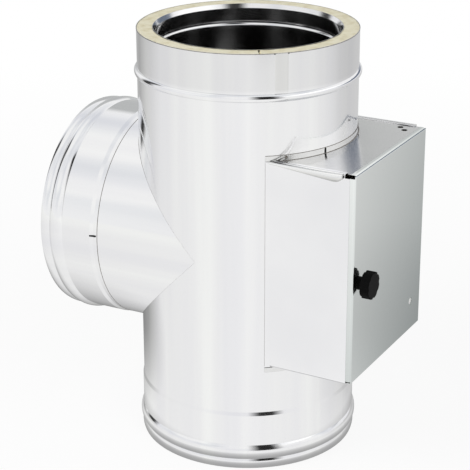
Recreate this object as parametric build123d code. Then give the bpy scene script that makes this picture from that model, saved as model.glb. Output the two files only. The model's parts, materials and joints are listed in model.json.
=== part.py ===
from build123d import *
import os
from math import sqrt

# Twin-wall flue tee with an inspection box. The run stands along Z, the branch points to -X and
# the door faces +X. The origin is the centre of the bottom rim. All sizes are in millimetres.

# Run and branch tubes
flue_radius = 125.0  # bore of the inner flue
flue_wall = 0.6
casing_radius = 150.0  # outside of the outer casing
casing_wall = 0.6
run_height = 588.0
tee_centre = 299.0  # height of the branch axis and of the box
branch_length = 96.0  # from the side of the run's casing to the branch rim
sheet_gap = 0.1  # between sheets that lie on each other
wool_gap = 0.2  # between wool and sheet

# Plain top end of the casing
male_length = 53.0
stop_bead_width = 11.0
stop_bead_height = 4.0

# Female ends at the bottom and on the branch, measured from the rim
rim_bead_width = 14.0
rim_bead_height = 1.6
lock_bead_width = 21.0
lock_bead_height = 3.7
socket_length = 80.0
socket_clearance = 0.7
swage_length = 5.0
seat_clearance = 2.0  # left between two joined fittings' wool
branch_neck = 4.0  # shortest stretch of the branch stub, at its top and bottom
collar_lap = 3.0  # the branch collar's tail inside the stub

# Inner flue ends
spigot_clearance = 0.3
spigot_length = 53.0
spigot_shoulder = 3.0
mouth_flare = 2.6
mouth_depth = 6.0
seal_bead_depth = 27.0  # from the mouth to the middle of the bead
seal_bead_width = 8.0
seal_bead_height = 2.4

# Inspection box
box_width = 235.0
box_height = 292.0
box_wall = 0.8
door_front = 215.0  # from the run's axis to the door's face
casing_flange = 7.5  # roof and floor flanges on the casing
side_flange = 3.5
slit_angle = 20.0
slit_width = 2.4
hem_width = 8.0
hem_radius = 5.0
hem_setback = 7.0  # the upper hems stop short of the box's front
roof_hole_radius = 4.2
roof_hole_insets = ((31.0, 18.5), (21.0, 28.5))  # from the door's face and from the box's +Y side

# Port through the wool
port_side_margin = 42.5  # from the box's sides to the port
port_end_margin = 46.0  # from the box's roof and floor to the port
port_flange = 11.0
port_wall = 0.6
port_face = 168.0  # from the run's axis to the front of the neck's flange
port_clearance = 1.0  # round the neck where it passes through the casing
gasket_thickness = 3.6

# Door
door_wall = 0.8
door_flange = 7.5
door_bend = 3.5
door_gap = 0.12  # between the door's flanges and the box walls
corner_relief = 4.5
sight_hole_radius = 5.2
sight_hole_inset = 35.5  # from the door's +Y edge
sight_hole_rise = 45.0  # from the door's bottom edge
tray_wall = 0.6
tray_margin = 2.0  # the tray covers the gasket by this much
tray_lip = 10.0
seal_gap = 0.3  # between bodies that move past each other

# Hinges on the +Y side
hinge_end_margin = 51.0  # from the box's roof and floor to the hinges' middles
hinge_length = 42.0
hinge_wall = 0.8
frame_leaf_width = 20.0
door_leaf_width = 4.0
barrel_radius = 2.4
pin_radius = 1.3
pin_head_radius = 2.2
pin_head_height = 1.0
running_gap = 0.05
knuckle_gap = 0.4
rivet_radius = 1.6
rivet_head_radius = 3.0
rivet_head_height = 1.2
rivet_spacing = 22.0
rivet_inset = 12.0  # from the hinge axis

# Quarter-turn latch
latch_inset = 20.5  # from the door's edge to the knob's axis
latch_drop = 6.5  # from the box's middle line down to the knob's axis
spindle_radius = 3.0
bush_radius = 5.0
collar_base_radius = 9.0
collar_neck_radius = 7.5
collar_edge = 1.2
collar_height = 5.0
bush_tail = 7.0  # the collar's tail behind the door plate
latch_nut_flats = 14.0
latch_nut_height = 4.0
grip_radius = 18.5
grip_height = 13.0
grip_stand = 7.8  # from the door's face to the back of the grip
grip_lobes = 8
grip_scallop_radius = 6.0
grip_scallop_depth = 1.3
grip_edge = 1.2
grip_floor = 3.0  # material left in front of the spindle
tongue_length = 17.0
tongue_width = 9.0
tongue_wall = 2.0
tongue_nut_flats = 10.0
tongue_nut_height = 5.0
keeper_height = 34.0
keeper_leg = 20.0
keeper_lip = 10.7
keeper_gap = 0.6

# Places that follow from the sizes above
branch_reach = casing_radius + branch_length
port_width = box_width - 2 * port_side_margin
port_height = box_height - 2 * port_end_margin
half_width = box_width / 2
half_height = box_height / 2
socket_depth = male_length + seat_clearance
socket_radius = casing_radius + casing_wall + socket_clearance
casing_inside = casing_radius - casing_wall
liner_outside = flue_radius + flue_wall
spigot_bore = flue_radius - flue_wall - spigot_clearance
door_inside = door_front - door_wall
box_front = door_front - door_flange - door_gap
flange_radius = casing_radius + sheet_gap  # inside of the sheets that lie on the casing
tray_back = port_face + gasket_thickness + seal_gap
tray_width = port_width + 2 * (port_flange + tray_margin)
tray_height = port_height + 2 * (port_flange + tray_margin)
hinge_x = box_front + door_gap / 2
hinge_y = half_width + barrel_radius + seal_gap
hinge_rise = half_height - hinge_end_margin
hinge_heights = (tee_centre + hinge_rise, tee_centre - hinge_rise)
knuckle_length = hinge_length / 3
latch_y = latch_inset - half_width
latch_z = tee_centre - latch_drop
tongue_front = box_front - hem_setback
hem_rise = sheet_gap + box_wall  # from the roof to the top of its hem
branch_rim = Pos(-branch_reach, 0, tee_centre) * Rot(0, 90, 0)  # Z runs from the rim to the run
latch_axis = Pos(0, latch_y, latch_z) * Rot(0, 90, 0)  # Z runs out through the door
base_aligned = (Align.CENTER, Align.CENTER, Align.MIN)


def block(x, y, z):
    """Box given by its low and high limits along each axis."""
    limits = (x, y, z)
    centre = [(low + high) / 2 for low, high in limits]
    sizes = [high - low for low, high in limits]
    return Pos(*centre) * Box(*sizes)


def centred(x, width, height):
    """Box between two X limits, centred on the box's middle line."""
    y = (-width / 2, width / 2)
    z = (tee_centre - height / 2, tee_centre + height / 2)
    return block(x, y, z)


def rod(radius, low, high):
    """Cylinder on the Z axis between two heights."""
    return Pos(0, 0, low) * Cylinder(radius, high - low, align=base_aligned)


def tube(outside, inside, low, high):
    """Straight round wall on the Z axis."""
    return rod(outside, low, high) - rod(inside, low, high)


def wall_run(start, end):
    """Straight stretch of a turned outline, from one (radius, height) to the next."""
    return Line((start[0], 0, start[1]), (end[0], 0, end[1]))


def bead(radius, low, high, height):
    """Half-round bead on a wall of this radius; a negative height presses it inwards."""
    return ThreePointArc((radius, 0, low), (radius + height, 0, (low + high) / 2), (radius, 0, high))


def turned_sheet(outline, wall):
    """Sheet turned about Z, between an outline and its copy moved out by the wall."""
    first = outline[0] @ 0
    last = outline[-1] @ 1
    shift = Vector(wall, 0, 0)
    copy = [Pos(shift) * edge for edge in outline]
    ends = [Line(first, first + shift), Line(last, last + shift)]
    return revolve(make_face([*outline, *copy, *ends]), Axis.Z)


def turned_core(outline, growth):
    """Solid that fills an outline to the Z axis, grown by this much in radius."""
    grown = [Pos(growth, 0, 0) * edge for edge in outline]
    first = grown[0] @ 0
    last = grown[-1] @ 1
    ends = [
        Line(first, (0, 0, first.Z)),
        Line((0, 0, first.Z), (0, 0, last.Z)),
        Line((0, 0, last.Z), last),
    ]
    return revolve(make_face([*grown, *ends]), Axis.Z)


def mitre_wedge(gap=0.0):
    """Side of the two 45 degree mitre planes that belongs to the branch, set back by the gap."""
    tip = (-gap, tee_centre)
    corners = [tip, (tip[0] - branch_reach, tee_centre + branch_reach)]
    corners += [(tip[0] - branch_reach, tee_centre - branch_reach), tip]
    triangle = make_face(Polyline([(x, 0, z) for x, z in corners]))
    return extrude(triangle, 2 * casing_radius, both=True)


def socket_outline():
    """Inside of a female end: rim bead, lock bead and socket wall, from the rim up."""
    inside = socket_radius - casing_wall
    lock_top = rim_bead_width + lock_bead_width
    return [
        bead(inside, 0, rim_bead_width, rim_bead_height),
        bead(inside, rim_bead_width, lock_top, lock_bead_height),
        wall_run((inside, lock_top), (inside, socket_length)),
    ]


def outer_casing():
    """Run's outer tube, swaged out to a socket below, with a stop bead under its plain top."""
    inside = socket_radius - casing_wall
    swage_top = socket_length + swage_length
    bead_top = run_height - male_length
    bead_low = bead_top - stop_bead_width
    outline = socket_outline()
    outline += [
        wall_run((inside, socket_length), (casing_inside, swage_top)),
        wall_run((casing_inside, swage_top), (casing_inside, bead_low)),
        bead(casing_inside, bead_low, bead_top, stop_bead_height),
        wall_run((casing_inside, bead_top), (casing_inside, run_height)),
    ]
    port_hole = centred(
        (0, casing_radius * 2), port_width + 2 * (port_wall + port_clearance),
        port_height + 2 * (port_wall + port_clearance),
    )
    return turned_sheet(outline, casing_wall) - mitre_wedge() - port_hole


def branch_casing():
    """Branch stub, mitred to the run and lapped over the collar's tail."""
    start = branch_reach - casing_radius - branch_neck
    stub = branch_rim * tube(casing_radius, casing_inside, start, branch_reach)
    return stub & mitre_wedge(sheet_gap)


def branch_collar():
    """Female end of the branch, swaged down to a tail inside the stub."""
    inside = socket_radius - casing_wall
    tail_inside = casing_inside - sheet_gap - casing_wall
    swage_top = socket_length + swage_length
    tail_end = branch_reach - casing_radius - branch_neck + collar_lap
    outline = socket_outline()
    outline += [
        wall_run((inside, socket_length), (tail_inside, swage_top)),
        wall_run((tail_inside, swage_top), (tail_inside, tail_end)),
    ]
    return branch_rim * turned_sheet(outline, casing_wall)


def spigot_outline(wall_end):
    """Inside of a flue tube from its necked-in spigot to the end of its straight wall."""
    shoulder_top = spigot_length + spigot_shoulder
    return [
        wall_run((spigot_bore, 0), (spigot_bore, spigot_length)),
        wall_run((spigot_bore, spigot_length), (flue_radius, shoulder_top)),
        wall_run((flue_radius, shoulder_top), (flue_radius, wall_end)),
    ]


def liner_outline():
    """Inside of the inner flue, from its spigot up to its flared mouth."""
    bead_middle = run_height - seal_bead_depth
    bead_low = bead_middle - seal_bead_width / 2
    bead_top = bead_middle + seal_bead_width / 2
    mouth_low = run_height - mouth_depth
    outline = spigot_outline(bead_low)
    outline += [
        bead(flue_radius, bead_low, bead_top, seal_bead_height),
        wall_run((flue_radius, bead_top), (flue_radius, mouth_low)),
        wall_run((flue_radius, mouth_low), (flue_radius + mouth_flare, run_height)),
    ]
    return outline


def flue_liner():
    """Inner flue of the run, with its branch hole and port."""
    port = centred((0, casing_radius), port_width, port_height)
    return turned_sheet(liner_outline(), flue_wall) - mitre_wedge() - port


def branch_liner():
    """Inner tube of the branch, mitred to the run's liner."""
    inner_tube = branch_rim * turned_sheet(spigot_outline(branch_reach), flue_wall)
    return inner_tube & mitre_wedge(sheet_gap)


def neck_hole():
    """Room for the port neck in the wool."""
    grown = 2 * (port_wall + wool_gap)
    return centred((0, port_face), port_width + grown, port_height + grown)


def run_insulation():
    """Wool between the run's casing and liner, flush with the top."""
    wool = rod(casing_inside - wool_gap, socket_depth, run_height)
    wool -= turned_core(liner_outline(), flue_wall + wool_gap)
    return wool - mitre_wedge() - neck_hole()


def branch_insulation():
    """Wool in the branch, from its socket to the run's wool."""
    outside = casing_inside - sheet_gap - casing_wall - wool_gap
    wool = branch_rim * tube(outside, liner_outside + wool_gap, socket_depth, branch_reach)
    return wool & mitre_wedge(wool_gap)


def box_roof():
    """Box roof: a plate scribed to the casing, with a slit flange standing on the casing."""
    roof_top = tee_centre + half_height
    inner_half = half_width - hem_radius - sheet_gap
    plate = block((0, box_front), (-inner_half, inner_half), (roof_top - box_wall, roof_top))
    plate -= rod(flange_radius, 0, run_height)
    low = roof_top - box_wall
    high = roof_top + casing_flange
    flange = tube(flange_radius + box_wall, flange_radius, low, high)
    flange &= block((0, 2 * casing_radius), (-inner_half, inner_half), (low, high))
    outer_half = half_width + side_flange
    wing_low = roof_top + hem_rise + sheet_gap
    wings = tube(flange_radius + box_wall, flange_radius, wing_low, high)
    flange += wings & block((0, 2 * casing_radius), (-outer_half, outer_half), (wing_low, high))
    for angle in (-slit_angle, slit_angle):
        slit = block((0, 2 * casing_radius), (-slit_width / 2, slit_width / 2), (roof_top, high))
        flange -= Rot(0, 0, angle) * slit
    return plate + flange


def box_top_panel():
    """Roof with its two holes."""
    panel = box_roof()
    roof_top = tee_centre + half_height
    for x_inset, y_inset in roof_hole_insets:
        place = Pos(door_front - x_inset, half_width - y_inset, 0)
        panel -= place * rod(roof_hole_radius, roof_top - box_wall, roof_top)
    return panel


def box_bottom_panel():
    """Floor: the roof's plain mirror image."""
    return mirror(box_roof(), about=Plane.XY.offset(tee_centre))


def box_left_panel():
    """Side wall with hems folded over the roof and floor, and a narrow flange on the casing."""
    outer_height = box_height + 2 * hem_rise
    section = Plane.YZ * RectangleRounded(box_width, outer_height, hem_radius)
    section -= Plane.YZ * RectangleRounded(
        box_width - 2 * box_wall, outer_height - 2 * box_wall, hem_radius - box_wall
    )
    wall = Pos(0, 0, tee_centre) * extrude(section, box_front)
    strip = (-half_width, hem_width - half_width)
    rise = half_height + hem_rise
    wall &= block((0, box_front), strip, (tee_centre - rise, tee_centre + rise))
    wall -= rod(flange_radius, 0, run_height)
    front_cut = block((box_front - hem_setback, box_front), strip, (half_height - hem_radius, rise))
    back_cut = rod(flange_radius + box_wall + wool_gap, half_height, rise)
    for cut in (front_cut, back_cut, mirror(back_cut, about=Plane.XY)):
        wall -= Pos(0, 0, tee_centre) * cut
    low = tee_centre - half_height
    high = tee_centre + half_height
    flange = tube(flange_radius + box_wall, flange_radius, low, high)
    flange &= block((0, casing_radius), (-half_width - side_flange, box_wall - half_width), (low, high))
    return wall + flange


def rivet_places():
    """Middle of each rivet, as (X, Z)."""
    offsets = (-rivet_spacing / 2, rivet_spacing / 2)
    return [(hinge_x - rivet_inset, height + offset) for height in hinge_heights for offset in offsets]


def rivet_holes():
    """Holes for the rivets, through the side wall and the hinge leaves."""
    depth = (half_width - box_wall, half_width + hinge_wall)
    return [across_y(x, z, rivet_radius + running_gap, depth) for x, z in rivet_places()]


def across_y(x, z, radius, depth):
    """Cylinder along Y between two limits."""
    low, high = depth
    return Pos(x, low, z) * Rot(-90, 0, 0) * Cylinder(radius, high - low, align=base_aligned)


def box_right_panel():
    """Mirror image of the left wall, drilled for the hinge rivets."""
    return mirror(box_left_panel(), about=Plane.XZ) - rivet_holes()


def box_insulation():
    """Wool that fills the box behind the port's flange."""
    clear = box_wall + 2 * wool_gap
    front = port_face - port_wall - wool_gap
    wool = centred((0, front), box_width - 2 * clear, box_height - 2 * clear)
    wool = fillet(wool.edges().filter_by(Axis.X), hem_radius)
    wool -= rod(casing_radius + wool_gap, 0, run_height)
    wool &= block((0, front), (-half_width, half_width), (0, run_height))
    return wool - neck_hole()


def port_neck():
    """Rectangular duct from the liner to the box, with a flange for the seal."""
    outer = centred((0, port_face), port_width + 2 * port_wall, port_height + 2 * port_wall)
    neck = outer - rod(liner_outside + sheet_gap, 0, run_height)
    flange_front = (port_face - port_wall, port_face)
    neck += centred(flange_front, port_width + 2 * port_flange, port_height + 2 * port_flange)
    return neck - centred((0, port_face), port_width, port_height)


def port_gasket():
    """Flat rope seal on the neck's flange."""
    depth = (port_face, port_face + gasket_thickness)
    gasket = centred(depth, port_width + 2 * port_flange, port_height + 2 * port_flange)
    return gasket - centred(depth, port_width, port_height)


def latch_keeper():
    """Angle bracket on the left wall; the tongue turns in behind its lip."""
    wall_face = box_wall - half_width
    z = (latch_z - keeper_height / 2, latch_z + keeper_height / 2)
    lip_back = tongue_front + keeper_gap
    lip_front = lip_back + box_wall
    leg = block((lip_front - keeper_leg, lip_front), (wall_face, wall_face + box_wall), z)
    return leg + block((lip_back, lip_front), (wall_face, wall_face + keeper_lip), z)


def door_panel():
    """Shallow folded pan with open corners, drilled for the latch."""
    pan = centred((door_front - door_flange, door_front), box_width, box_height)
    pan = fillet(pan.faces().sort_by(Axis.X)[-1].edges(), door_bend)
    pan = offset(pan, -door_wall, openings=pan.faces().sort_by(Axis.X)[0])
    depth = (door_front - door_flange, door_inside)
    for y in (-half_width, half_width):
        for z in (tee_centre - half_height, tee_centre + half_height):
            reach = 2 * corner_relief
            pan -= Pos((depth[0] + depth[1]) / 2, y, z) * Box(depth[1] - depth[0], reach, reach)
    through = (door_inside - door_flange, door_front)
    pan -= latch_axis * rod(bush_radius + running_gap, *through)
    sight_place = (half_width - sight_hole_inset, tee_centre - half_height + sight_hole_rise)
    sight_axis = Pos(0, *sight_place) * Rot(0, 90, 0)
    return pan - sight_axis * rod(sight_hole_radius, *through)


def door_tray():
    """Insulated back of the door: a tray whose floor meets the gasket, lipped above and below."""
    tray = centred((tray_back, door_inside), tray_width, tray_height)
    inner_width = tray_width - 2 * tray_wall
    inner_height = tray_height - 2 * tray_wall
    tray += centred((door_inside - tray_wall, door_inside), tray_width, tray_height + 2 * tray_lip)
    return tray - centred((tray_back + tray_wall, door_inside), inner_width, inner_height)


def door_insulation():
    """Wool in the door's tray."""
    clear = 2 * (tray_wall + wool_gap)
    depth = (tray_back + tray_wall + wool_gap, door_inside - wool_gap)
    return centred(depth, tray_width - clear, tray_height - clear)


def on_hinge(part):
    """A piece made on the Z axis, moved to the hinge axis."""
    return Pos(hinge_x, hinge_y, 0) * part


def frame_leaf(height):
    """Leaf on the side wall, with the two outer knuckles."""
    low = height - hinge_length / 2
    high = height + hinge_length / 2
    middle = knuckle_length / 2 + knuckle_gap
    leaf = block((hinge_x - frame_leaf_width, hinge_x), (half_width, half_width + hinge_wall), (low, high))
    leaf += on_hinge(rod(barrel_radius, low, high))
    gap = barrel_radius + knuckle_gap
    leaf -= on_hinge(block((-gap, gap), (-gap, gap), (height - middle, height + middle)))
    leaf -= on_hinge(rod(pin_radius + running_gap, low, high))
    return leaf - rivet_holes()


def door_leaf(height):
    """Leaf on the door's flange, with the middle knuckle."""
    low = height - hinge_length / 2
    high = height + hinge_length / 2
    half = knuckle_length / 2
    leaf = block((hinge_x, hinge_x + door_leaf_width), (half_width, half_width + hinge_wall), (low, high))
    gap = barrel_radius + knuckle_gap
    for outer in ((low, height - half), (height + half, high)):
        leaf -= on_hinge(block((-gap, gap), (-gap, gap), outer))
    leaf += on_hinge(rod(barrel_radius, height - half, height + half))
    return leaf - on_hinge(rod(pin_radius + running_gap, low, high))


def hinge_pin(height):
    """Headed pin through the three knuckles."""
    low = height - hinge_length / 2
    high = height + hinge_length / 2
    return on_hinge(rod(pin_radius, low, high) + rod(pin_head_radius, high, high + pin_head_height))


def hinge_rivets():
    """Four rivets, headed inside the wall and outside the leaves."""
    inner_face = half_width - box_wall
    outer_face = half_width + hinge_wall
    rivets = []
    for x, z in rivet_places():
        rivet = across_y(x, z, rivet_radius, (inner_face, outer_face))
        rivet += across_y(x, z, rivet_head_radius, (outer_face, outer_face + rivet_head_height))
        rivet += across_y(x, z, rivet_head_radius, (inner_face - rivet_head_height, inner_face))
        rivets.append(rivet)
    return Compound(children=rivets)


def nut(flats, height, bore):
    """Plain hexagon nut on the Z axis."""
    corner_radius = flats / sqrt(3)
    return extrude(RegularPolygon(corner_radius, 6), height) - rod(bore, 0, height)


def latch_collar():
    """Low collar on the door's face, with a bush through the plate."""
    cone_low = door_front + collar_edge
    cone_height = collar_height - collar_edge
    cone = Cone(collar_base_radius, collar_neck_radius, cone_height, align=base_aligned)
    collar = Pos(0, 0, cone_low) * cone + rod(collar_base_radius, door_front, cone_low)
    collar += rod(bush_radius, door_inside - bush_tail, door_front)
    return latch_axis * (collar - rod(spindle_radius + running_gap, 0, 2 * door_front))


def latch_nut():
    """Nut that holds the collar to the door plate."""
    low = door_inside - latch_nut_height
    return latch_axis * Pos(0, 0, low) * nut(latch_nut_flats, latch_nut_height, bush_radius + running_gap)


def knob_grip():
    """Lobed grip on a short waist, bored blind for the spindle."""
    outline = Circle(grip_radius)
    scallop_place = grip_radius - grip_scallop_depth + grip_scallop_radius
    outline -= PolarLocations(scallop_place, grip_lobes) * Circle(grip_scallop_radius)
    head_low = door_front + grip_stand
    head_top = head_low + grip_height
    head = extrude(outline, grip_height)
    ends = head.edges().group_by(Axis.Z)
    head = Pos(0, 0, head_low) * fillet(ends[0] + ends[-1], grip_edge)
    waist_low = door_front + collar_height + seal_gap
    grip = head + rod(collar_neck_radius, waist_low, head_low + grip_floor)
    return latch_axis * (grip - rod(spindle_radius + running_gap, 0, head_top - grip_floor))


def knob_spindle():
    """Round spindle from the grip, through the collar, to the tongue and its nut."""
    low = tongue_front - tongue_wall - tongue_nut_height
    high = door_front + grip_stand + grip_height - grip_floor
    return latch_axis * rod(spindle_radius, low, high)


def latch_tongue():
    """Flat tongue that hangs down when the latch is open."""
    low = tongue_front - tongue_wall
    reach = tongue_length - tongue_width / 2
    tongue = block((0, reach), (-tongue_width / 2, tongue_width / 2), (low, tongue_front))
    tongue += rod(tongue_width / 2, low, tongue_front)
    tongue += Pos(reach, 0, 0) * rod(tongue_width / 2, low, tongue_front)
    return latch_axis * (tongue - rod(spindle_radius + running_gap, low, tongue_front))


def tongue_nut():
    """Nut behind the tongue."""
    low = tongue_front - tongue_wall - tongue_nut_height
    bore = spindle_radius + running_gap
    return latch_axis * Pos(0, 0, low) * nut(tongue_nut_flats, tongue_nut_height, bore)


nodes = {
    "outer_casing": outer_casing(),
    "branch_casing": branch_casing(),
    "branch_collar": branch_collar(),
    "flue_liner": flue_liner(),
    "branch_liner": branch_liner(),
    "run_insulation": run_insulation(),
    "branch_insulation": branch_insulation(),
    "box_insulation": box_insulation(),
    "box_top_panel": box_top_panel(),
    "box_bottom_panel": box_bottom_panel(),
    "box_left_panel": box_left_panel(),
    "box_right_panel": box_right_panel(),
    "port_neck": port_neck(),
    "port_gasket": port_gasket(),
    "latch_keeper": latch_keeper(),
    "hinge_rivets": hinge_rivets(),
    "door_panel": door_panel(),
    "door_tray": door_tray(),
    "door_insulation": door_insulation(),
    "latch_collar": latch_collar(),
    "latch_nut": latch_nut(),
    "knob_grip": knob_grip(),
    "knob_spindle": knob_spindle(),
    "latch_tongue": latch_tongue(),
    "tongue_nut": tongue_nut(),
}
for name, height in zip(("upper", "lower"), hinge_heights):
    nodes[f"{name}_frame_leaf"] = frame_leaf(height)
    nodes[f"{name}_door_leaf"] = door_leaf(height)
    nodes[f"{name}_hinge_pin"] = hinge_pin(height)

os.makedirs("parts", exist_ok=True)
for node, shape in nodes.items():
    export_step(shape, f"parts/{node}.step")
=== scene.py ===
import json
from math import cos, pi, radians, sin, sqrt

import bmesh
import bpy
from mathutils import Matrix, Vector, noise


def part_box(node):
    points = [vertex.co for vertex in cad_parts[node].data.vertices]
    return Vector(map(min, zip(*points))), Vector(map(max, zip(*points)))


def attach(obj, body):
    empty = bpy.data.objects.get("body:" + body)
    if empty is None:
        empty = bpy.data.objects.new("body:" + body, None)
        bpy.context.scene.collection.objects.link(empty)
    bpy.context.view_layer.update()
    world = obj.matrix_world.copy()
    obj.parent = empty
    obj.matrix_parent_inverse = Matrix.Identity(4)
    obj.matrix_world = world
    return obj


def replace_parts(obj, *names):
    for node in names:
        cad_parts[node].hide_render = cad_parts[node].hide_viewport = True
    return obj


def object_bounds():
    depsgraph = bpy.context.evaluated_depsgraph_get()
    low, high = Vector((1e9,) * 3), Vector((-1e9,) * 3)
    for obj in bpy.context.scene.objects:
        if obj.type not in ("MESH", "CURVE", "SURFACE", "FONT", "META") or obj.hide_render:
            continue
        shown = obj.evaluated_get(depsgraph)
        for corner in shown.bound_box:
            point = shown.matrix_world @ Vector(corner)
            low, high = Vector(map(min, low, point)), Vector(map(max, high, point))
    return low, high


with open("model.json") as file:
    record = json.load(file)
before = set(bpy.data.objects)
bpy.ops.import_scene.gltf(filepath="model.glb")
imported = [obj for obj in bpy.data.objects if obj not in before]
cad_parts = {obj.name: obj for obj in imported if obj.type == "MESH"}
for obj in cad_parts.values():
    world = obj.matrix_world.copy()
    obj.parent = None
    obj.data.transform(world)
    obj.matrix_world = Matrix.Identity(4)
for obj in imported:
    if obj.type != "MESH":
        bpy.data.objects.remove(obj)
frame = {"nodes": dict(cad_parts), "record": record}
cad_low, cad_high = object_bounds()
nodes = frame["nodes"]
scene = bpy.context.scene
scene.view_settings.view_transform = "Standard"

# Camera, matched to the photograph
IMAGE_SIZE = 470
FOCAL_PIXELS = 1627.6
PRINCIPAL_POINT = (247.1, 228.6)
CAMERA_PLACE = (1.0011, -1.8819, 1.1159)
CAMERA_AIM = Vector((-0.439, 0.824, -0.359))
SENSOR_WIDTH = 36.0

# Sizes shared with the solids, in metres
RUN_HEIGHT = 0.588
TEE_CENTRE = 0.299
CASING_RADIUS = 0.150
BRANCH_RIM = -0.246
SOCKET_DEPTH = 0.055
MALE_LENGTH = 0.053
FLANGE_TOP = 0.4525
FLANGE_RADIUS = 0.1509
STUB_START = -0.154


def add_camera():
    """Camera at the photograph's place, with its framing as a small lens shift."""
    data = bpy.data.cameras.new("camera")
    data.sensor_width = SENSOR_WIDTH
    data.lens = FOCAL_PIXELS * SENSOR_WIDTH / IMAGE_SIZE
    data.shift_x = (IMAGE_SIZE / 2 - PRINCIPAL_POINT[0]) / IMAGE_SIZE
    data.shift_y = (PRINCIPAL_POINT[1] - IMAGE_SIZE / 2) / IMAGE_SIZE
    camera = bpy.data.objects.new("camera", data)
    camera.location = CAMERA_PLACE
    camera.rotation_euler = CAMERA_AIM.to_track_quat("-Z", "Y").to_euler()
    scene.collection.objects.link(camera)
    scene.camera = camera


def new_material(name):
    """Empty node material with its Principled shader."""
    material = bpy.data.materials.new(name)
    material.use_nodes = True
    return material, material.node_tree, material.node_tree.nodes["Principled BSDF"]


def new_metal(name):
    """Empty metal material."""
    material, tree, shader = new_material(name)
    shader.inputs["Metallic"].default_value = 1.0
    return material, tree, shader


def add_node(tree, kind, inputs=None, **settings):
    """Node with its settings and unlinked input values."""
    node = tree.nodes.new(kind)
    for key, value in settings.items():
        setattr(node, key, value)
    for key, value in (inputs or {}).items():
        node.inputs[key].default_value = value
    return node


def object_noise(tree, scale, detail, stretch=(1, 1, 1)):
    """Noise in the part's own coordinates, stretched by a scale along each axis."""
    place = add_node(tree, "ShaderNodeTexCoord")
    mapping = add_node(tree, "ShaderNodeMapping", {"Scale": stretch})
    texture = add_node(tree, "ShaderNodeTexNoise", {"Scale": scale, "Detail": detail})
    tree.links.new(place.outputs["Object"], mapping.inputs["Vector"])
    tree.links.new(mapping.outputs["Vector"], texture.inputs["Vector"])
    return texture.outputs["Fac"]


def object_axis(tree, axis):
    """One of the part's own coordinates."""
    place = add_node(tree, "ShaderNodeTexCoord")
    split = add_node(tree, "ShaderNodeSeparateXYZ")
    tree.links.new(place.outputs["Object"], split.inputs["Vector"])
    return split.outputs[axis]


def spread(tree, value, low, high, source=(0.0, 1.0)):
    """Value from a source range mapped to another range."""
    limits = {"From Min": source[0], "From Max": source[1], "To Min": low, "To Max": high}
    node = add_node(tree, "ShaderNodeMapRange", limits)
    tree.links.new(value, node.inputs["Value"])
    return node.outputs["Result"]


def ramp(tree, value, stops):
    """Colours along a value, from (position, colour) stops."""
    node = add_node(tree, "ShaderNodeValToRGB")
    elements = node.color_ramp.elements
    while len(elements) < len(stops):
        elements.new(1.0)
    for element, (position, colour) in zip(elements, stops):
        element.position = position
        element.color = (*colour, 1.0)
    tree.links.new(value, node.inputs["Fac"])
    return node.outputs["Color"]


def grey(level):
    """Neutral colour."""
    return (level, level, level)


def bump(tree, shader, value, strength, distance):
    """Bump from a height value."""
    node = add_node(tree, "ShaderNodeBump", {"Strength": strength, "Distance": distance})
    tree.links.new(value, node.inputs["Height"])
    tree.links.new(node.outputs["Normal"], shader.inputs["Normal"])


# Finishes
POLISH = 0.09
UPRIGHT_STREAKS = (1, 1, 0.03)
LEVEL_STREAKS = (0.03, 1, 1)
SHEET_TONES = ((0.82, 0.82, 0.84), (0.86, 0.86, 0.865), (0.91, 0.915, 0.905))
# Painted shade: the casing's plain top end is darkened, standing in for the dimmer far floor it reflects
END_PAINTED_SHADE_TINT = (0.90, 0.90, 0.90)
LAP_TINT = (0.84, 0.84, 0.825)
END_FADE = (0.534, 0.540)
SIDE_TONES = ((0.83, 0.83, 0.845), (0.89, 0.89, 0.895))
# Painted reflection: the door's tone darkens from its upper left to its lower right corner, standing in for
# dark surroundings reflected in it
DOOR_PAINTED_REFLECTION_TONES = ((0.85, 0.875, 0.86), (0.40, 0.44, 0.435))
DOOR_SPAN = ((-0.1175, 0.1175), (0.445, 0.153))
# Painted shade: the rolled hems darken towards their lowest edge
HEM_PAINTED_SHADE_TONES = ((0.90, 0.90, 0.885), (0.56, 0.56, 0.545))
HEM_SPAN = (0.4435, 0.4365)
ROOF_TONES = ((0.72, 0.72, 0.72), (0.80, 0.80, 0.79))
ROOF_SLOPES = (0.083, 0.018)  # along X and Y
# Painted shade: the inner flue darkens from its mouth into the deep tube
FLUE_PAINTED_SHADE_LEVELS = (0.30, 0.80)  # inside and at the mouth
MOUTH_FADE = (RUN_HEIGHT - 0.037, RUN_HEIGHT - 0.030)
# Dark tones for the real weld marks, and for painted shadow lines at sheet edges and the branch seam
WELD_AND_SHADOW_TONES = ((0.16, 0.14, 0.12), (0.34, 0.32, 0.30))
WOOL_TONES = ((0.69, 0.62, 0.42), (0.83, 0.785, 0.60), (0.89, 0.855, 0.69))
CERAMIC_TONES = ((0.82, 0.81, 0.78), (0.88, 0.88, 0.86), (0.92, 0.92, 0.91))


def polished_steel(name, stretch):
    """Bright rolled stainless sheet: soft streaks along the tube, a varying haze and slight waves."""
    material, tree, shader = new_metal(name)
    streaks = object_noise(tree, 26.0, 3.0, stretch)
    tone = ramp(tree, streaks, list(zip((0.3, 0.5, 0.7), SHEET_TONES)))
    tree.links.new(tone, shader.inputs["Base Color"])
    haze = object_noise(tree, 14.0, 4.0)
    tree.links.new(spread(tree, haze, POLISH * 0.6, POLISH * 1.4), shader.inputs["Roughness"])
    waves = object_noise(tree, 5.0, 1.0, (1, 1, 0.4))
    bump(tree, shader, waves, 0.2, 0.001)
    return material


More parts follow.
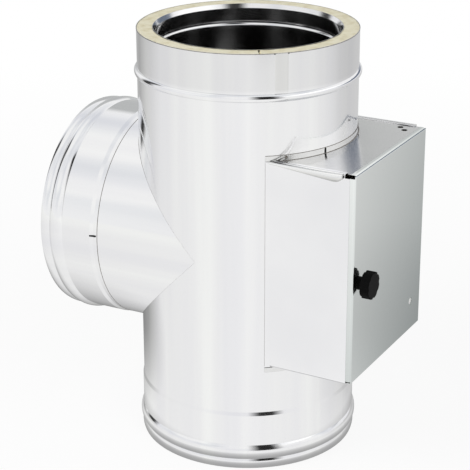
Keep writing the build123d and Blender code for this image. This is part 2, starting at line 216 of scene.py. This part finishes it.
def casing_steel(name, tint):
    """Sheet of the run, darker by a tint on the plain end above its bead; on the casing this tint is
    painted shade.
    """
    material = polished_steel(name, UPRIGHT_STREAKS)
    tree = material.node_tree
    colour = tree.nodes["Principled BSDF"].inputs["Base Color"]
    darkened = add_node(tree, "ShaderNodeMixRGB", {"Color2": (*tint, 1.0)}, blend_type="MULTIPLY")
    tree.links.new(spread(tree, object_axis(tree, "Z"), 0.0, 1.0, END_FADE), darkened.inputs["Fac"])
    tree.links.new(colour.links[0].from_socket, darkened.inputs["Color1"])
    tree.links.new(darkened.outputs["Color"], colour)
    return material


def soft_clouds(tree):
    """Soft clouds between 0 and 1."""
    return spread(tree, object_noise(tree, 7.0, 3.0), 0.0, 1.0, (0.3, 0.7))


def door_painted_reflection(tree):
    """Painted reflection on the door: 0 at its upper left corner, 1 at its lower right corner."""
    total = add_node(tree, "ShaderNodeMath", operation="ADD")
    for axis, span, socket in zip("YZ", DOOR_SPAN, total.inputs):
        tree.links.new(spread(tree, object_axis(tree, axis), 0.0, 0.5, span), socket)
    return total.outputs[0]


def hem_painted_shade(tree):
    """Painted shade on a rolled hem: 0 at its top, 1 at its lowest edge."""
    return spread(tree, object_axis(tree, "Z"), 0.0, 1.0, HEM_SPAN)


def satin_steel(name, shade, tones, roughness):
    """Duller sheet with a fine upright grain."""
    material, tree, shader = new_metal(name)
    tree.links.new(ramp(tree, shade(tree), list(zip((0.0, 1.0), tones))), shader.inputs["Base Color"])
    grain = object_noise(tree, 900.0, 3.0, (1, 1, 0.02))
    tree.links.new(spread(tree, grain, roughness * 0.8, roughness * 1.2), shader.inputs["Roughness"])
    return material


def roof_steel():
    """Sheet of the box's roof and floor, which bows up a little towards the front."""
    material = satin_steel("roof_steel", soft_clouds, ROOF_TONES, 0.16)
    tree = material.node_tree
    total = add_node(tree, "ShaderNodeMath", operation="ADD")
    for axis, slope, socket in zip("XY", ROOF_SLOPES, total.inputs):
        tree.links.new(spread(tree, object_axis(tree, axis), -slope, slope, (-1.0, 1.0)), socket)
    bump(tree, tree.nodes["Principled BSDF"], total.outputs[0], 1.0, 1.0)
    return material


def flue_steel():
    """Inner flue: bright at the mouth, darker inside by painted shade of the deep tube."""
    material, tree, shader = new_metal("flue_steel")
    depth = spread(tree, object_axis(tree, "Z"), 0.0, 1.0, MOUTH_FADE)
    tone = ramp(tree, depth, list(zip((0.0, 1.0), map(grey, FLUE_PAINTED_SHADE_LEVELS))))
    tree.links.new(tone, shader.inputs["Base Color"])
    haze = object_noise(tree, 25.0, 3.0)
    tree.links.new(spread(tree, haze, 0.08, 0.2), shader.inputs["Roughness"])
    return material


def painted_gap_shadow():
    """Near-black painted shadow for gaps."""
    material, tree, shader = new_material("painted_gap_shadow")
    patches = object_noise(tree, 400.0, 2.0)
    tone = ramp(tree, patches, [(0.3, grey(0.012)), (0.7, grey(0.03))])
    tree.links.new(tone, shader.inputs["Base Color"])
    shader.inputs["Roughness"].default_value = 0.9
    shader.inputs["Specular IOR Level"].default_value = 0.1
    return material


def weld_tint_and_shadow():
    """Steel darkened by welding on the welds, and painted shadow along sheet edges and the branch seam."""
    material, tree, shader = new_metal("weld_tint_and_shadow")
    patches = object_noise(tree, 500.0, 2.0)
    tone = ramp(tree, patches, list(zip((0.3, 0.7), WELD_AND_SHADOW_TONES)))
    tree.links.new(tone, shader.inputs["Base Color"])
    tree.links.new(spread(tree, patches, 0.3, 0.5), shader.inputs["Roughness"])
    return material


def fibre_wool(name, tones):
    """Mineral fibre: soft mottled colour and short fibres."""
    material, tree, shader = new_material(name)
    shader.inputs["Roughness"].default_value = 1.0
    shader.inputs["Specular IOR Level"].default_value = 0.1
    mottle = object_noise(tree, 70.0, 6.0)
    stops = list(zip((0.25, 0.5, 0.75), tones))
    tree.links.new(ramp(tree, mottle, stops), shader.inputs["Base Color"])
    fibres = object_noise(tree, 420.0, 4.0)
    bump(tree, shader, fibres, 0.7, 0.0015)
    return material


def moulded_plastic():
    """Black moulded plastic with a fine grain."""
    material, tree, shader = new_material("black_plastic")
    shader.inputs["Base Color"].default_value = (0.004, 0.004, 0.004, 1.0)
    shader.inputs["Specular IOR Level"].default_value = 0.03
    grain = object_noise(tree, 900.0, 2.0)
    tree.links.new(spread(tree, grain, 0.38, 0.55), shader.inputs["Roughness"])
    bump(tree, shader, grain, 0.2, 0.0003)
    return material


def rope_seal():
    """Black braided seal: two crossed sets of strands."""
    material, tree, shader = new_material("rope_seal")
    shader.inputs["Roughness"].default_value = 0.95
    place = add_node(tree, "ShaderNodeTexCoord")
    strands = []
    for turn in (45, -45):
        mapping = add_node(tree, "ShaderNodeMapping", {"Rotation": (radians(turn), 0, 0)})
        wave = add_node(tree, "ShaderNodeTexWave", {"Scale": 160.0, "Distortion": 0.6}, bands_direction="Y")
        tree.links.new(place.outputs["Object"], mapping.inputs["Vector"])
        tree.links.new(mapping.outputs["Vector"], wave.inputs["Vector"])
        strands.append(wave.outputs["Fac"])
    braid = add_node(tree, "ShaderNodeMath", operation="MAXIMUM")
    for strand, socket in zip(strands, braid.inputs):
        tree.links.new(strand, socket)
    tone = ramp(tree, braid.outputs[0], [(0.4, grey(0.012)), (1.0, grey(0.06))])
    tree.links.new(tone, shader.inputs["Base Color"])
    bump(tree, shader, braid.outputs[0], 0.8, 0.001)
    return material


def node_finishes():
    """Materials of the nodes that differ from their slot's own."""
    branch = polished_steel("branch_steel", LEVEL_STREAKS)
    roof = roof_steel()
    side = satin_steel("side_steel", soft_clouds, SIDE_TONES, POLISH)
    return {
        "outer_casing": casing_steel("casing_steel", END_PAINTED_SHADE_TINT),
        "branch_casing": branch,
        "branch_collar": branch,
        "box_top_panel": roof,
        "box_bottom_panel": roof,
        "box_left_panel": side,
        "box_right_panel": side,
        "door_insulation": fibre_wool("ceramic_wool", CERAMIC_TONES),
    }


def dress_nodes(finishes, own_finishes):
    """Gives every CAD node its material."""
    for part in frame["record"]["subparts"]:
        mesh = nodes[part["node"]].data
        mesh.materials.clear()
        mesh.materials.append(own_finishes.get(part["node"], finishes[part["material_slot"]]))


# Pieces
SHARP_ANGLE = 40.0


def add_piece(name, build, material):
    """New piece of the tee body from a mesh that a function fills."""
    mesh = bpy.data.meshes.new(name)
    solid = bmesh.new()
    build(solid)
    bmesh.ops.recalc_face_normals(solid, faces=solid.faces)
    solid.to_mesh(mesh)
    solid.free()
    mesh.shade_smooth()
    mesh.set_sharp_from_angle(angle=radians(SHARP_ANGLE))
    mesh.materials.append(material)
    piece = bpy.data.objects.new(name, mesh)
    scene.collection.objects.link(piece)
    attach(piece, "tee")
    return piece


def skin(solid, rings, close_ends):
    """Quads between closed rings of points."""
    rows = [[solid.verts.new(point) for point in ring] for ring in rings]
    count = len(rows[0])
    last_row = len(rows) if close_ends else len(rows) - 1
    for i in range(last_row):
        row, next_row = rows[i], rows[(i + 1) % len(rows)]
        for j in range(count):
            k = (j + 1) % count
            solid.faces.new((row[j], row[k], next_row[k], next_row[j]))
    return rows


def bar(solid, rings):
    """Quads between closed rings of points, with a cap on both ends."""
    rows = skin(solid, rings, False)
    solid.faces.new(rows[0])
    solid.faces.new(rows[-1])


# Loose wool at the open ends
WOOL_STEPS = 540
WOOL_FACE_STEPS = 14
WOOL_END_DEPTH = 0.04
WOOL_DIP = 0.0013
WOOL_COARSE = 45
WOOL_FINE = 220
WOOL_TOP = (0.1286, 0.1491)  # inner and outer radius
WOOL_BOTTOM = (0.1260, 0.1491)
WOOL_BRANCH = (0.1260, 0.1484)
WOOL_JOINT = (Vector((0.0715, -0.1065, 0)), Vector((0.0835, -0.1230, 0)))
WOOL_JOINT_WIDTH = 0.0009
WOOL_JOINT_DEPTH = 0.004


def wool_height(place, joint):
    """Height of the torn wool face at a point, always below the end of the tube."""
    coarse = noise.noise(place * WOOL_COARSE)
    fine = noise.noise(place * WOOL_FINE)
    height = -WOOL_DIP * (0.5 + 0.35 * coarse + 0.15 * fine)
    if joint is not None:
        start, end = joint
        along = end - start
        share = (place - start).dot(along) / along.length_squared
        nearest = start + along * min(max(share, 0), 1)
        if (place - nearest).length < WOOL_JOINT_WIDTH:
            height -= WOOL_JOINT_DEPTH
    return height


def wool_end(solid, matrix, radii, joint=None):
    """Ring of wool that faces +Z at the matrix's origin."""
    inner, outer = radii
    rings = []
    for i in range(WOOL_STEPS):
        angle = 2 * pi * i / WOOL_STEPS
        way = Vector((cos(angle), sin(angle), 0))
        deep = Vector((0, 0, -WOOL_END_DEPTH))
        ring = [way * outer + deep]
        for j in range(WOOL_FACE_STEPS + 1):
            place = way * (outer + (inner - outer) * j / WOOL_FACE_STEPS)
            ring.append(place + Vector((0, 0, wool_height(place, joint))))
        ring.append(way * inner + deep)
        rings.append([matrix @ point for point in ring])
    skin(solid, rings, True)


def run_wool(solid):
    """Wool seen at the top and bottom of the run, with the butt joint of its strip at the top."""
    wool_end(solid, Matrix.Translation((0, 0, RUN_HEIGHT)), WOOL_TOP, WOOL_JOINT)
    wool_end(solid, Matrix.Translation((0, 0, SOCKET_DEPTH)) @ Matrix.Rotation(pi, 4, "X"), WOOL_BOTTOM)


def branch_wool(solid):
    """Wool seen in the branch socket."""
    place = Matrix.Translation((BRANCH_RIM + SOCKET_DEPTH, 0, TEE_CENTRE))
    wool_end(solid, place @ Matrix.Rotation(-pi / 2, 4, "Y"), WOOL_BRANCH)


# Rope seal on the port's flange
SEAL_HALF_WIDTH = 0.0805
SEAL_HALF_HEIGHT = 0.1055
SEAL_CORNER = 0.006
SEAL_SECTION = (0.0053, 0.00175)
SEAL_FACE = 0.168
SEAL_SECTION_STEPS = 20
SEAL_CORNER_STEPS = 10


def rope(solid):
    """Flattened rope round the port."""
    rings = []
    for corner in range(4):
        middle = radians(45 + 90 * corner)
        across = 1 if cos(middle) > 0 else -1
        up = 1 if sin(middle) > 0 else -1
        centre_y = across * (SEAL_HALF_WIDTH - SEAL_CORNER)
        centre_z = TEE_CENTRE + up * (SEAL_HALF_HEIGHT - SEAL_CORNER)
        for step in range(SEAL_CORNER_STEPS + 1):
            angle = middle + radians(90 * step / SEAL_CORNER_STEPS - 45)
            way = Vector((0, cos(angle), sin(angle)))
            centre = Vector((SEAL_FACE + SEAL_SECTION[1], centre_y, centre_z)) + way * SEAL_CORNER
            ring = []
            for side in range(SEAL_SECTION_STEPS):
                turn = 2 * pi * side / SEAL_SECTION_STEPS
                lift = Vector((SEAL_SECTION[1] * sin(turn), 0, 0))
                ring.append(centre + way * SEAL_SECTION[0] * cos(turn) + lift)
            rings.append(ring)
    skin(solid, rings, True)


# Lap seam on the plain top end
LAP_ANGLES = (-49.0, -42.0)
LAP_RISE = 0.0006
LAP_SINK = 0.0002
LAP_STEPS = 14
LAP_MARGIN = 0.0012


def band(inner, outer, low, high):
    """Rectangular outline of (radius, height)."""
    return ((inner, low), (outer, low), (outer, high), (inner, high))


def lap_seam(solid):
    """Thin overlap of the casing sheet, sloped at both edges."""
    bottom = RUN_HEIGHT - MALE_LENGTH + LAP_MARGIN
    top = RUN_HEIGHT - 2 * LAP_SINK
    rings = []
    for step in range(LAP_STEPS + 1):
        angle = radians(LAP_ANGLES[0] + (LAP_ANGLES[1] - LAP_ANGLES[0]) * step / LAP_STEPS)
        edge = step in (0, LAP_STEPS)
        outer = CASING_RADIUS + (-LAP_SINK if edge else LAP_RISE)
        inner = CASING_RADIUS - 2 * LAP_SINK
        way = Vector((cos(angle), sin(angle), 0))
        corners = band(inner, outer, bottom, top)
        rings.append([way * radius + Vector((0, 0, height)) for radius, height in corners])
    bar(solid, rings)


# Painted shadow: dark lines where sheets end on the casing
EDGE_STEPS = 60
EDGE_RISE = 0.0007
FLANGE_ANGLE = 53.3
FLANGE_LOW = 0.1455
SIDE_FLANGE = (0.1545, 0.4435)
SIDE_WIDTH = 0.3
FOLD_ANGLE = 48.0
RIM_EDGE = 0.0009
RIM_STEPS = 180
ROOF = 0.445


def casing_patch(solid, angles, outline, steps):
    """Patch round the casing: an outline of (radius, height) swept between two angles."""
    rings = []
    for step in range(steps + 1):
        angle = radians(angles[0] + (angles[1] - angles[0]) * step / steps)
        way = Vector((cos(angle), sin(angle), 0))
        rings.append([way * radius + Vector((0, 0, height)) for radius, height in outline])
    bar(solid, rings)


def sheet_edge_shadows(solid):
    """Dark lines of painted shadow at the box's flanges, the roof's fold and the casing's top rim."""
    foot = CASING_RADIUS - LAP_SINK
    for edge, way in ((FLANGE_TOP, 1), (FLANGE_LOW, -1)):
        outline = ((foot, edge), (FLANGE_RADIUS, edge), (foot, edge + way * EDGE_RISE))
        casing_patch(solid, (-FLANGE_ANGLE, FLANGE_ANGLE), outline, EDGE_STEPS)
    fold = FLANGE_RADIUS - LAP_SINK
    outline = ((fold, ROOF), (fold + 2 * EDGE_RISE, ROOF), (fold, ROOF + EDGE_RISE))
    casing_patch(solid, (-FOLD_ANGLE, FOLD_ANGLE), outline, EDGE_STEPS)
    low, high = SIDE_FLANGE
    for start in (-FLANGE_ANGLE - SIDE_WIDTH, FLANGE_ANGLE):
        crest = FLANGE_RADIUS - EDGE_RISE / 2
        casing_patch(solid, (start, start + SIDE_WIDTH), band(foot, crest, low, high), 2)
    low, high = RUN_HEIGHT - RIM_EDGE, RUN_HEIGHT - LAP_SINK
    crest = CASING_RADIUS + LAP_SINK
    casing_patch(solid, (-180, 180), band(foot, crest, low, high), RIM_STEPS)


# Painted shadow in gaps: near-black patches in the flange's slits, the nicks at the lap seam's rim and the
# end of the branch's swage
SLIT_ANGLE = 20.0
SLIT_HALF_WIDTH = 0.62
SLIT_MARGIN = 0.0008
NICK_WIDTH = 0.5
NICK_DEPTH = 0.0016
SWAGE = ((-0.166, 0.1513), (-0.161, 0.1500), (-0.157, 0.1500))
SWAGE_GAP = (2.6, 3.4)
SWAGE_RISE = 0.0003


def gap_shadow_patches(solid):
    """Near-black patches of painted shadow in small gaps of the sheets."""
    foot = CASING_RADIUS - LAP_SINK
    crest = FLANGE_RADIUS + LAP_SINK
    low, high = ROOF + SLIT_MARGIN, FLANGE_TOP - SLIT_MARGIN
    outline = band(foot, crest, low, high)
    for angle in (-SLIT_ANGLE, SLIT_ANGLE):
        casing_patch(solid, (angle - SLIT_HALF_WIDTH, angle + SLIT_HALF_WIDTH), outline, 2)
    crest = CASING_RADIUS + LAP_RISE + LAP_SINK
    low, high = RUN_HEIGHT - NICK_DEPTH, RUN_HEIGHT - LAP_SINK
    outline = band(foot, crest, low, high)
    for angle in LAP_ANGLES:
        casing_patch(solid, (angle - NICK_WIDTH / 2, angle + NICK_WIDTH / 2), outline, 2)
    rings = []
    for angle in SWAGE_GAP:
        way = Vector((0, -cos(radians(angle)), sin(radians(angle))))
        ring = []
        for rise in (-LAP_SINK, SWAGE_RISE):
            for place, radius in (SWAGE if rise < 0 else SWAGE[::-1]):
                ring.append(Vector((place, 0, TEE_CENTRE)) + way * (radius + rise))
        rings.append(ring)
    bar(solid, rings)


# Seams of the branch
SEAM_STEPS = 240
SEAM_SECTION = ((-0.0010, 0.1490), (-0.0008, 0.1500), (0.0001, 0.15012), (0.0002, 0.1498))
MITRE_STEPS = 160
MITRE_SIDES = 8
MITRE_TOP = 0.0006
MITRE_BOTTOM = 0.0003
MITRE_TIP = 0.00005


def branch_seam_shadow(solid):
    """Dark line of painted shadow where the stub laps over the collar."""
    rings = []
    for step in range(SEAM_STEPS):
        angle = 2 * pi * step / SEAM_STEPS
        ring = []
        for along, radius in SEAM_SECTION:
            ring.append((STUB_START + along, radius * cos(angle), TEE_CENTRE + radius * sin(angle)))
        rings.append(ring)
    skin(solid, rings, True)


def mitre_weld(solid):
    """Thin weld along the mitre, fading to nothing at its two tips."""
    for up, size in ((1, MITRE_TOP), (-1, MITRE_BOTTOM)):
        rings = []
        for step in range(MITRE_STEPS + 1):
            angle = pi / 2 + pi * step / MITRE_STEPS
            reach = -cos(angle)
            along_branch = CASING_RADIUS * reach
            centre = Vector((-along_branch, CASING_RADIUS * sin(angle), TEE_CENTRE + up * along_branch))
            outward = Vector((-reach, 2 * sin(angle), up * reach)).normalized()
            along = Vector((-sin(angle), cos(angle), up * sin(angle))).normalized()
            across = outward.cross(along)
            radius = size * reach ** 4 + MITRE_TIP
            ring = []
            for side in range(MITRE_SIDES):
                turn = 2 * pi * side / MITRE_SIDES
                ring.append(centre + (outward * cos(turn) + across * sin(turn)) * radius)
            rings.append(ring)
        bar(solid, rings)


# Spot welds of the roof flange
WELD_RADIUS = 0.0022
WELD_RISE = 0.0004
WELD_DISH = 0.6
WELD_DROP = 0.0026
WELD_RINGS = (1.0, 0.8, 0.45)
WELD_SIDES = 18
WELD_ANGLES = (-43.0, 43.0)


def weld_marks(solid):
    """Spot welds on the roof flange: low domes with a dished middle."""
    for angle in WELD_ANGLES:
        turn = Matrix.Rotation(radians(angle), 4, "Z")
        rings = []
        for share, rise in zip(WELD_RINGS, (0.0, WELD_RISE, WELD_RISE * WELD_DISH)):
            ring = []
            for side in range(WELD_SIDES):
                around = 2 * pi * side / WELD_SIDES
                across = WELD_RADIUS * share * cos(around)
                height = FLANGE_TOP - WELD_DROP + WELD_RADIUS * share * sin(around)
                ring.append(turn @ Vector((FLANGE_RADIUS + rise, across, height)))
            rings.append(ring)
        rows = skin(solid, rings, False)
        solid.faces.new(rows[-1])


# Rolled upper hems of the box's sides, which widen towards the front
HEM_PLACES = (0.0945, 0.1985)
HEM_HEIGHTS = (0.0035, 0.0135)
HEM_BULGES = (0.0004, 0.0042)
HEM_BACK = 0.0045
HEM_LIFT = 0.0002
HEM_WALL = 0.0004
HEM_CORNER = 0.005
HEM_FOOT_SHARE = 0.9
HEM_INNER = ((-0.0017, 0.0017), (-HEM_BACK, HEM_WALL))
HEM_STEPS = 40
HEM_SECTION_STEPS = 16
HEM_ROUND_START = 0.86
HEM_ROUND_LOSS = 0.8


def hem_section(height, bulge):
    """Outline of a rolled hem as (distance out of the wall, distance below the top)."""
    outline = []
    for step in range(HEM_SECTION_STEPS + 1):
        angle = pi / 2 - pi * step / HEM_SECTION_STEPS
        out = (HEM_BACK + bulge) * cos(angle) - HEM_BACK
        if angle < 0:
            out = max(out, -HEM_WALL * (1 - angle))
        outline.append((out, height / 2 * (1 - sin(angle)) - HEM_LIFT))
    return [*outline, (-HEM_WALL, min(HEM_FOOT_SHARE * height, HEM_CORNER)), *HEM_INNER]


def hem_rolls(solid):
    """Rolled edge along the top of each side wall, rounded off at its front end."""
    low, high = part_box("box_left_panel")
    start, end = HEM_PLACES
    for side in (-1, 1):
        rings = []
        for step in range(HEM_STEPS + 1):
            share = step / HEM_STEPS
            turn = max(share - HEM_ROUND_START, 0) / (1 - HEM_ROUND_START)
            size = sqrt(1 - HEM_ROUND_LOSS * turn * turn)
            height = (HEM_HEIGHTS[0] + (HEM_HEIGHTS[1] - HEM_HEIGHTS[0]) * share) * size
            bulge = (HEM_BULGES[0] + (HEM_BULGES[1] - HEM_BULGES[0]) * share) * size
            place = start + (end - start) * share
            outline = hem_section(height, bulge)
            rings.append([(place, side * (abs(low.y) + out), high.z - down) for out, down in outline])
        bar(solid, rings)


def add_details(finishes):
    """Pieces that the solids leave plain."""
    wool = finishes["mineral_wool"]
    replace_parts(add_piece("run_wool", run_wool, wool), "run_insulation")
    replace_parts(add_piece("branch_wool", branch_wool, wool), "branch_insulation")
    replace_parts(add_piece("rope_seal", rope, finishes["seal"]), "port_gasket")
    add_piece("lap_seam", lap_seam, casing_steel("lap_steel", LAP_TINT))
    # The hems' steel carries painted shade along their lower edge
    rolled = satin_steel("hem_steel", hem_painted_shade, HEM_PAINTED_SHADE_TONES, 0.12)
    add_piece("hem_rolls", hem_rolls, rolled)
    # Shared by the real welds and by the painted shadow lines at sheet edges and the branch seam
    weld_and_shadow_steel = weld_tint_and_shadow()
    add_piece("weld_marks", weld_marks, weld_and_shadow_steel)
    add_piece("sheet_edge_shadows", sheet_edge_shadows, weld_and_shadow_steel)
    # Near-black patches: painted shadow in the slits, the nicks and the swage gap
    add_piece("gap_shadow_patches", gap_shadow_patches, painted_gap_shadow())
    add_piece("branch_seam_shadow", branch_seam_shadow, weld_and_shadow_steel)
    add_piece("mitre_weld", mitre_weld, weld_and_shadow_steel)


# Studio: white world and floor, soft lamps, and cards that only reflections see
FLOOR_REACH = 6.0
FLOOR_DROP = 0.0005
CARD_REACH = 6.0
CARD_DROP = 0.0003
WHITE_SHARES = (0.88, 1.0)
WHITE_REACH = (0.5, 2.0)
ROOM_DARK = (0.76, 0.78, 0.82)
ROOM_MIDDLE = (0.90, 0.91, 0.93)
HORIZON = (0.92, 0.92, 0.94)
HORIZON_FADE = 0.35
WORLD_LIGHT = 0.6


def mix_colour(tree, factor, base, other):
    """A plain colour mixed with a linked one."""
    node = add_node(tree, "ShaderNodeMixRGB", {"Color1": (*base, 1.0)})
    tree.links.new(factor, node.inputs["Fac"])
    tree.links.new(other, node.inputs["Color2"])
    return node.outputs["Color"]


def seen_directly(tree):
    """1 for what the camera sees by itself, in metal or through glass, and 0 for light."""
    path = add_node(tree, "ShaderNodeLightPath")
    seen = path.outputs["Is Camera Ray"]
    for kind in ("Is Glossy Ray", "Is Transmission Ray"):
        either = add_node(tree, "ShaderNodeMath", operation="MAXIMUM")
        tree.links.new(seen, either.inputs[0])
        tree.links.new(path.outputs[kind], either.inputs[1])
        seen = either.outputs[0]
    return seen


def white_world():
    """White for the camera, softly uneven like a lit room in reflections, softer as a light."""
    world = bpy.data.worlds.new("studio")
    world.use_nodes = True
    scene.world = world
    tree = world.node_tree
    background = tree.nodes["Background"]
    path = add_node(tree, "ShaderNodeLightPath")
    place = add_node(tree, "ShaderNodeTexCoord")
    patches = add_node(tree, "ShaderNodeTexNoise", {"Scale": 1.7, "Detail": 1.0})
    tree.links.new(place.outputs["Generated"], patches.inputs["Vector"])
    stops = [(0.34, ROOM_DARK), (0.46, ROOM_MIDDLE), (0.56, grey(1.0))]
    room = ramp(tree, patches.outputs["Fac"], stops)
    split = add_node(tree, "ShaderNodeSeparateXYZ")
    tree.links.new(place.outputs["Generated"], split.inputs["Vector"])
    rise = spread(tree, split.outputs["Z"], 0.0, 1.0, (0.0, HORIZON_FADE))
    above = mix_colour(tree, rise, HORIZON, room)
    shown = mix_colour(tree, path.outputs["Is Glossy Ray"], grey(1.0), above)
    tree.links.new(shown, background.inputs["Color"])
    tree.links.new(spread(tree, seen_directly(tree), WORLD_LIGHT, 1.0), background.inputs["Strength"])


def add_sheet(name, corners):
    """Flat stage sheet from its corners."""
    mesh = bpy.data.meshes.new(name)
    mesh.from_pydata(corners, [], [tuple(range(len(corners)))])
    sheet = bpy.data.objects.new(name, mesh)
    scene.collection.objects.link(sheet)
    return sheet


def square(reach):
    """Corners of a level square round the origin."""
    return [(-reach, -reach, 0), (reach, -reach, 0), (reach, reach, 0), (-reach, reach, 0)]


def only_reflections(card):
    """Hides a card from all but reflections."""
    card.visible_camera = False
    card.visible_diffuse = False
    card.visible_shadow = False
    card.visible_transmission = False


def add_floor():
    """Pale floor: white to the camera, with a faint shadow."""
    floor = add_sheet("floor", square(FLOOR_REACH))
    floor.location.z = cad_low.z - FLOOR_DROP
    material, tree, shader = new_material("floor")
    shader.inputs["Base Color"].default_value = (0.9, 0.9, 0.9, 1)
    shader.inputs["Roughness"].default_value = 0.9
    glow = add_node(tree, "ShaderNodeEmission", {"Color": (1, 1, 1, 1), "Strength": 1.0})
    place = add_node(tree, "ShaderNodeTexCoord")
    length = add_node(tree, "ShaderNodeVectorMath", operation="LENGTH")
    tree.links.new(place.outputs["Object"], length.inputs[0])
    share = add_node(tree, "ShaderNodeMath", operation="MULTIPLY")
    tree.links.new(spread(tree, length.outputs["Value"], *WHITE_SHARES, WHITE_REACH), share.inputs[0])
    tree.links.new(seen_directly(tree), share.inputs[1])
    mix = add_node(tree, "ShaderNodeMixShader")
    tree.links.new(share.outputs[0], mix.inputs[0])
    tree.links.new(shader.outputs[0], mix.inputs[1])
    tree.links.new(glow.outputs[0], mix.inputs[2])
    tree.links.new(mix.outputs[0], tree.nodes["Material Output"].inputs["Surface"])
    floor.data.materials.append(material)


# Brightness of the floor card by direction: (degrees from the camera's side, level)
CARD_TURN = -62.0
CARD_LEVELS = ((-180, 0.60), (-146, 0.44), (-122, 0.70), (-98, 0.90), (-60, 0.94), (-30, 0.96), (0, 1.0),
               (20, 0.96), (60, 0.95), (90, 0.86), (104, 0.74), (118, 0.68), (150, 0.66), (180, 0.62))
# Shades round the foot, behind the branch and behind the box: centre on the card, level and reach
FLOOR_SHADES = (
    ((0.0, 0.0, 0.0), 0.42, (0.152, 0.215)),
    ((-0.315, -0.375, 0.0), 0.52, (0.08, 0.36)),
    ((-0.303, 0.388, 0.0), 0.82, (0.10, 0.55)),
)


def add_floor_card():
    """Card on the floor whose tone changes round the part, for soft upright bands in the steel."""
    card = add_sheet("floor_card", square(CARD_REACH))
    card.location.z = cad_low.z - CARD_DROP
    card.rotation_euler.z = radians(CARD_TURN)
    only_reflections(card)
    material, tree, shader = new_material("floor_card")
    place = add_node(tree, "ShaderNodeTexCoord")
    wheel = add_node(tree, "ShaderNodeTexGradient", gradient_type="RADIAL")
    tree.links.new(place.outputs["Object"], wheel.inputs["Vector"])
    stops = [((angle + 180) / 360, grey(level)) for angle, level in CARD_LEVELS]
    glow = add_node(tree, "ShaderNodeEmission")
    tree.links.new(ramp(tree, wheel.outputs["Fac"], stops), glow.inputs["Color"])
    strength = None
    for centre, level, reach in FLOOR_SHADES:
        length = add_node(tree, "ShaderNodeVectorMath", {1: centre}, operation="DISTANCE")
        tree.links.new(place.outputs["Object"], length.inputs[0])
        product = add_node(tree, "ShaderNodeMath", {1: 1.0}, operation="MULTIPLY")
        tree.links.new(spread(tree, length.outputs["Value"], level, 1.0, reach), product.inputs[0])
        if strength is not None:
            tree.links.new(strength, product.inputs[1])
        strength = product.outputs[0]
    tree.links.new(strength, glow.inputs["Strength"])
    tree.links.new(glow.outputs[0], tree.nodes["Material Output"].inputs["Surface"])
    tree.nodes.remove(shader)
    card.data.materials.append(material)


# Upright cards
CARD_DISTANCE = 2.6
CARD_SOLID_SHARES = (0.35, 0.75)  # across and up


def edge_fade(tree, axis, middle, half, solid_share):
    """1 over a share of a card's width, falling to 0 at its edges."""
    offset = add_node(tree, "ShaderNodeMath", {1: middle}, operation="SUBTRACT")
    tree.links.new(object_axis(tree, axis), offset.inputs[0])
    size = add_node(tree, "ShaderNodeMath", operation="ABSOLUTE")
    tree.links.new(offset.outputs[0], size.inputs[0])
    return spread(tree, size.outputs[0], 1.0, 0.0, (half * solid_share, half))


def add_card(name, angle, width, heights, colour):
    """Upright card with soft edges, at an angle round the part."""
    low, high = heights
    half = width / 2
    corners = [(half, low), (half, high), (-half, high), (-half, low)]
    card = add_sheet(name, [(CARD_DISTANCE, y, z) for y, z in corners])
    card.rotation_euler.z = radians(angle)
    only_reflections(card)
    material, tree, shader = new_material(name)
    fade = add_node(tree, "ShaderNodeMath", operation="MULTIPLY")
    across, up = CARD_SOLID_SHARES
    tree.links.new(edge_fade(tree, "Y", 0.0, half, across), fade.inputs[0])
    tree.links.new(edge_fade(tree, "Z", (low + high) / 2, (high - low) / 2, up), fade.inputs[1])
    clear = add_node(tree, "ShaderNodeBsdfTransparent")
    glow = add_node(tree, "ShaderNodeEmission", {"Color": (*colour, 1.0), "Strength": 1.0})
    mix = add_node(tree, "ShaderNodeMixShader")
    tree.links.new(fade.outputs[0], mix.inputs[0])
    tree.links.new(clear.outputs[0], mix.inputs[1])
    tree.links.new(glow.outputs[0], mix.inputs[2])
    tree.links.new(mix.outputs[0], tree.nodes["Material Output"].inputs["Surface"])
    tree.nodes.remove(shader)
    card.data.materials.append(material)


def add_lamp(name, place, aim, size, power):
    """Soft rectangular lamp that faces a point, hidden from reflections."""
    data = bpy.data.lights.new(name, "AREA")
    data.shape = "RECTANGLE"
    data.size, data.size_y = size
    data.energy = power
    lamp = bpy.data.objects.new(name, data)
    lamp.location = place
    lamp.rotation_euler = (Vector(aim) - Vector(place)).to_track_quat("-Z", "Y").to_euler()
    lamp.visible_glossy = False
    scene.collection.objects.link(lamp)


finishes = {
    "polished_steel": polished_steel("polished_steel", UPRIGHT_STREAKS),
    # The door's satin steel carries a painted reflection, darker towards its lower right corner
    "satin_steel": satin_steel("satin_steel", door_painted_reflection, DOOR_PAINTED_REFLECTION_TONES, 0.11),
    "flue_steel": flue_steel(),
    "mineral_wool": fibre_wool("mineral_wool", WOOL_TONES),
    "black_plastic": moulded_plastic(),
    "seal": rope_seal(),
}
add_camera()
dress_nodes(finishes, node_finishes())
add_details(finishes)
white_world()
add_floor()
add_floor_card()
add_card("front_card", -44, 1.7, (-1.2, 4.4), grey(0.02))
add_card("right_card", 72, 4.4, (0.65, 1.37), (0.16, 0.19, 0.25))
add_card("left_card", 182, 1.2, (-0.6, 2.6), grey(0.05))
add_card("back_card", 126, 2.8, (-0.8, 2.3), (0.53, 0.54, 0.54))
add_card("high_card", 12, 5.2, (1.2, 2.8), grey(1.28))
add_lamp("key", (-1.6, -2.2, 2.2), (0, 0, 0.3), (1.6, 1.6), 40)
add_lamp("fill", (2.0, -1.4, 1.4), (0, 0, 0.3), (1.0, 1.6), 12)
